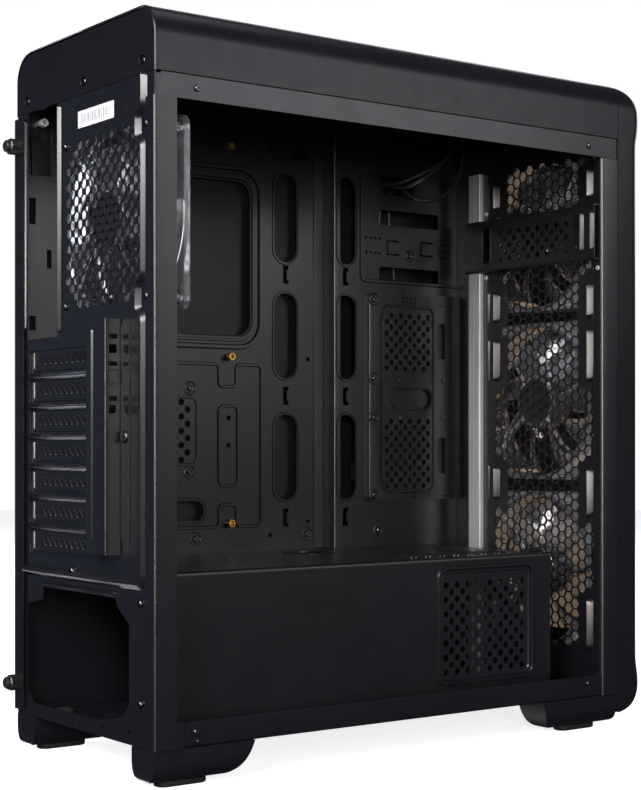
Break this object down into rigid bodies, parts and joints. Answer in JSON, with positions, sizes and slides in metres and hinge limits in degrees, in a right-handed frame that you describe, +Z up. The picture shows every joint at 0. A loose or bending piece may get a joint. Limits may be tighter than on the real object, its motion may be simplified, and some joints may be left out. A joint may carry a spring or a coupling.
{
  "type": "desktop computer tower",
  "caption": "Mid-tower computer case open on its left side, with steel chassis, power supply shroud, clear fans, plastic cover and bezel, and feet.",
  "frame": {"origin": "middle of the footprint, on the surface that the rubber pads stand on", "axes": "+Z up, +Y to the rear of the case, +X to its right side panel, -X to the open left side"},
  "size_m": [0.189, 0.438, 0.4803],
  "materials": {
    "painted_steel": "satin black powder coat",
    "bright_steel": "bare folded steel",
    "brass": "turned",
    "clear_plastic": "clear moulded plastic",
    "cover_plastic": "fine satin grain",
    "dark_plastic": "matte",
    "rubber": "matte",
    "smoked_window": "smoked clear plastic",
    "cable_sheath": "soft sheath"
  },
  "bodies": {
    "chassis": {"base_pan": "painted_steel", "rear_panel": "painted_steel", "roof_panel": "painted_steel", "fan_plate": "painted_steel", "motherboard_tray": "painted_steel", "tray_extension": "painted_steel", "psu_shroud": "painted_steel", "drive_plate": "painted_steel", "bay_bracket": "painted_steel", "slot_cover_1": "painted_steel", "slot_cover_2": "painted_steel", "slot_cover_3": "painted_steel", "slot_cover_4": "painted_steel", "slot_cover_5": "painted_steel", "slot_cover_6": "painted_steel", "slot_cover_7": "painted_steel", "fan_plate_rail_lower": "bright_steel", "fan_plate_rail_upper": "bright_steel", "usb_socket_left": "bright_steel", "usb_socket_right": "bright_steel", "standoff_1": "brass", "standoff_2": "brass", "standoff_3": "brass", "standoff_4": "brass", "standoff_5": "brass", "standoff_6": "brass", "rear_fan_frame": "clear_plastic", "front_fan_1_frame": "clear_plastic", "front_fan_2_frame": "clear_plastic", "front_fan_3_frame": "clear_plastic", "top_cover": "cover_plastic", "top_rear_cap": "cover_plastic", "foot_rear_left": "cover_plastic", "foot_front_left": "cover_plastic", "foot_rear_right": "cover_plastic", "foot_front_right": "cover_plastic", "io_panel": "dark_plastic", "audio_sockets": "dark_plastic", "usb_connector": "dark_plastic", "audio_connector": "dark_plastic", "switch_connector": "dark_plastic", "pad_rear_left": "rubber", "pad_front_left": "rubber", "pad_rear_right": "rubber", "pad_front_right": "rubber", "usb_lead": "cable_sheath", "audio_lead": "cable_sheath", "switch_leads": "cable_sheath"},
    "rear_rotor": {"rear_fan_rotor": "clear_plastic"},
    "front_rotor_1": {"front_fan_1_rotor": "clear_plastic"},
    "front_rotor_2": {"front_fan_2_rotor": "clear_plastic"},
    "front_rotor_3": {"front_fan_3_rotor": "clear_plastic"},
    "side_panel": {"right_side_panel": "painted_steel"},
    "upper_thumbscrew": {"thumbscrew_upper": "dark_plastic"},
    "lower_thumbscrew": {"thumbscrew_lower": "dark_plastic"},
    "bezel": {"front_bezel": "cover_plastic", "front_window": "smoked_window"},
    "screw_cover": {"slot_screw_cover": "painted_steel"},
    "power_key": {"power_button": "cover_plastic"},
    "reset_key": {"reset_button": "cover_plastic"}
  },
  "joints": [
    {"name": "rear_fan_spin", "type": "hinge", "parent": "chassis", "child": "rear_rotor", "pos_m": [-0.0315, 0.191, 0.3533], "axis": [0, 1, 0], "continuous": true},
    {"name": "front_fan_1_spin", "type": "hinge", "parent": "chassis", "child": "front_rotor_1", "pos_m": [-0.02, -0.191, 0.113], "axis": [0, 1, 0], "continuous": true},
    {"name": "front_fan_2_spin", "type": "hinge", "parent": "chassis", "child": "front_rotor_2", "pos_m": [-0.02, -0.191, 0.243], "axis": [0, 1, 0], "continuous": true},
    {"name": "front_fan_3_spin", "type": "hinge", "parent": "chassis", "child": "front_rotor_3", "pos_m": [-0.02, -0.191, 0.373], "axis": [0, 1, 0], "continuous": true},
    {"name": "side_panel_slide", "type": "slide", "parent": "chassis", "child": "side_panel", "axis": [0, 1, 0], "range_m": [0, 0.42]},
    {"name": "upper_thumbscrew_turn", "type": "hinge", "parent": "side_panel", "child": "upper_thumbscrew", "pos_m": [0.0845, 0.21, 0.4145], "axis": [0, 1, 0], "continuous": true},
    {"name": "lower_thumbscrew_turn", "type": "hinge", "parent": "side_panel", "child": "lower_thumbscrew", "pos_m": [0.0845, 0.21, 0.0465], "axis": [0, 1, 0], "continuous": true},
    {"name": "bezel_pull", "type": "slide", "parent": "chassis", "child": "bezel", "axis": [0, -1, 0], "range_m": [0, 0.06]},
    {"name": "screw_cover_pull", "type": "slide", "parent": "chassis", "child": "screw_cover", "axis": [0, 1, 0], "range_m": [0, 0.04]},
    {"name": "power_press", "type": "slide", "parent": "chassis", "child": "power_key", "axis": [0, 0, -1], "range_m": [0, 0.0014], "stiffness_N_per_m": 500, "springref_m": -0.001},
    {"name": "reset_press", "type": "slide", "parent": "chassis", "child": "reset_key", "axis": [0, 0, -1], "range_m": [0, 0.001], "stiffness_N_per_m": 400, "springref_m": -0.001}
  ]
}
